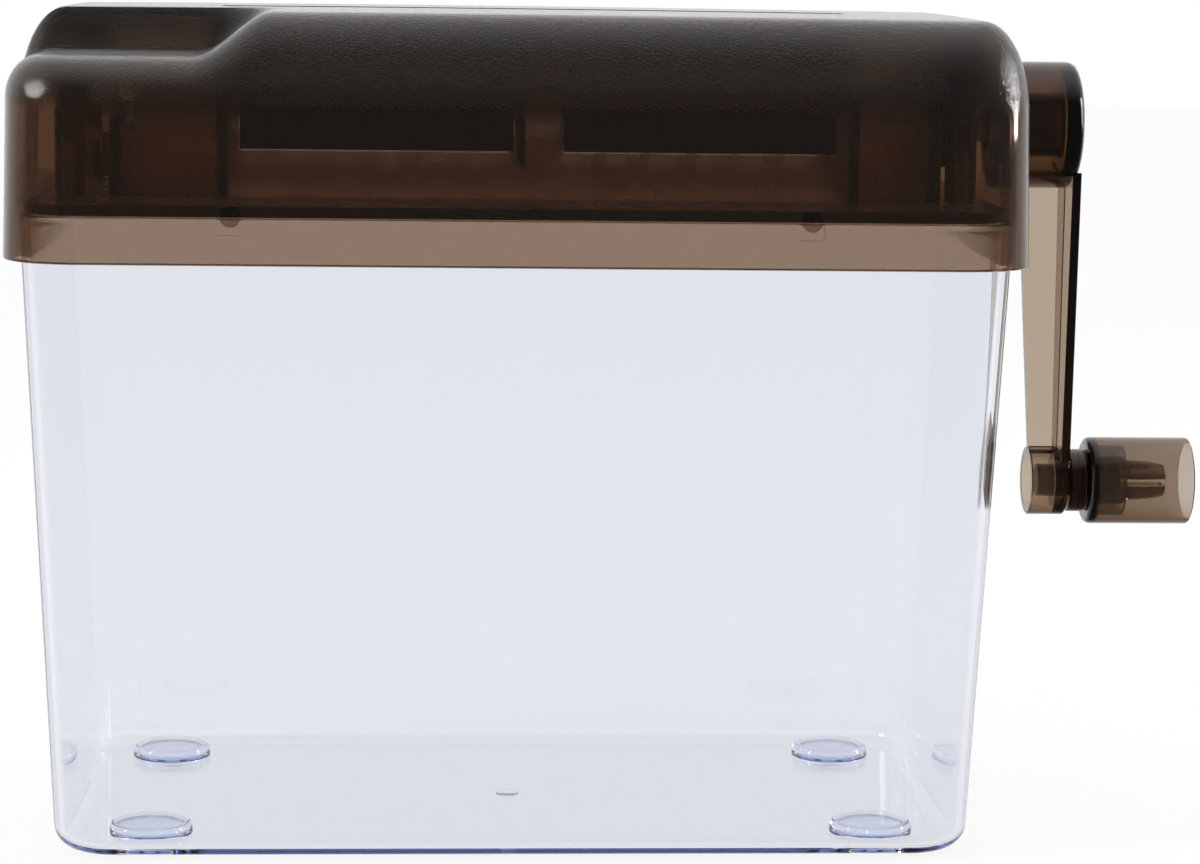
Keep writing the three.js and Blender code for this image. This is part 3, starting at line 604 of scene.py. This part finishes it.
# start of a node's name: its material, and the rounding of its edges in millimetres
FINISH = {
    "cutter_frame": (FRAME_SMOKE, 0.25), "frame_screw": (ZINC, 0), "centre_stay": (BLACK, 0.15),
    "front_comb": (BLACK, 0.25), "rear_comb": (BLACK, 0.25), "front_bushing": (NYLON, 0),
    "rear_bushing": (NYLON, 0), "drive_gear": (GEAR, 0), "driven_gear": (GEAR, 0),
    "front_cutter": (DISC_STEEL, 0.12), "rear_cutter": (DISC_STEEL, 0.12),
    "front_shaft": (BAR_STEEL, 0.15), "rear_shaft": (BAR_STEEL, 0.15),
}
for name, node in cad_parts.items():
    for start, (material, edge) in FINISH.items():
        if name.startswith(start):
            node.data.materials.clear()
            node.data.materials.append(material)
            if edge:
                rounding = node.modifiers.new("rounding", "BEVEL")
                rounding.width, rounding.segments = edge * MM, 2
                rounding.limit_method, rounding.angle_limit = "ANGLE", math.radians(35)
                rounding.harden_normals = True

# ------------------------------------------------------------------ stage, light and camera


def make_stage():
    floor = Build()
    floor.prism(circle(BODY_X, 0, 3000, 64), -3.0, 0.0)
    table = floor.finish("floor")
    material, tree = new_material("pale_paper_floor")
    where = add(tree, "TexCoord").outputs["Object"]
    tooth = add(tree, "TexNoise", {"Scale": 1 / (1.5 * MM), "Detail": 3.0}, {"Vector": where})
    bump = add(tree, "Bump", {"Strength": 0.05, "Distance": 0.1 * MM}, {"Height": tooth.outputs["Fac"]})
    surface = add(tree, "BsdfPrincipled", {
        "Base Color": linear("#6E6E6E"), "Roughness": 0.85, "Specular IOR Level": 0.0,
        "Emission Color": (1, 1, 1, 1), "Emission Strength": 0.86,
    }, {"Normal": bump.outputs["Normal"]})
    add(tree, "OutputMaterial", None, {"Surface": surface.outputs[0]})
    table.data.materials.append(material)
    table.visible_glossy = False


def panel(name, at, size, watts, towards):
    """A soft box: a rectangular light that faces a point."""
    light = bpy.data.lights.new(name, "AREA")
    light.shape, light.size, light.size_y, light.energy = "RECTANGLE", size[0] * MM, size[1] * MM, watts
    lamp = bpy.data.objects.new(name, light)
    lamp.location = Vector(at) * MM
    lamp.rotation_euler = (Vector(towards) - Vector(at)).to_track_quat("-Z", "Y").to_euler()
    bpy.context.scene.collection.objects.link(lamp)
    return lamp


def make_world():
    """White all round for what is seen through the object. What it reflects is white above and behind
    but dim at the front, as in a studio tent that is open there."""
    world = bpy.data.worlds.new("tent")
    bpy.context.scene.world = world
    world.use_nodes = True
    tree = world.node_tree
    tree.nodes.clear()
    way = add(tree, "TexCoord").outputs["Generated"]
    above_behind = (0.0, 0.8, 0.6)
    share = add(tree, "VectorMath", {"operation": "DOT_PRODUCT", 1: above_behind}, {0: way})
    lit = add(tree, "MapRange", {"From Min": -0.1, "From Max": 0.6, "To Min": 0.1, "To Max": 1.0},
              {"Value": share.outputs["Value"]})
    mirror = add(tree, "LightPath").outputs["Is Reflection Ray"]
    strength = add(tree, "Mix", {"data_type": "FLOAT", "A": 1.0},
                   {"Factor": mirror, "B": lit.outputs["Result"]})
    sky = add(tree, "Background", {"Color": (1, 1, 1, 1)}, {"Strength": strength.outputs["Result"]})
    add(tree, "OutputWorld", None, {"Surface": sky.outputs[0]})


def make_camera():
    position = Vector((BODY_X - 22.19, -632.4, 160.2)) * MM
    yaw, pitch, roll = (math.radians(a) for a in (3.506, 8.084, 0.801))
    right = Vector((math.cos(yaw), -math.sin(yaw), 0))
    ahead = Vector((math.sin(yaw), math.cos(yaw), 0))
    forward = ahead * math.cos(pitch) - Vector((0, 0, math.sin(pitch)))
    up = ahead * math.sin(pitch) + Vector((0, 0, math.cos(pitch)))
    right, up = right * math.cos(roll) + up * math.sin(roll), up * math.cos(roll) - right * math.sin(roll)
    camera = bpy.data.cameras.new("camera")
    camera.sensor_width, camera.lens = 36.0, 103.43
    holder = bpy.data.objects.new("camera", camera)
    holder.matrix_world = Matrix.Translation(position) @ Matrix((right, up, -forward)).transposed().to_4x4()
    bpy.context.scene.collection.objects.link(holder)
    bpy.context.scene.camera = holder


make_stage()
make_world()
panel("left_strip", (-740, -215, 370), (110, 330), 3.2, (-80, -30, 120))
panel("right_strip", (745, 80, 270), (110, 330), 2.6, (80, -30, 120))
make_camera()

scene = bpy.context.scene
scene.view_settings.view_transform = "Standard"
scene.cycles.max_bounces = 48
scene.cycles.transmission_bounces = 40
scene.cycles.glossy_bounces = 40
scene.cycles.transparent_max_bounces = 24
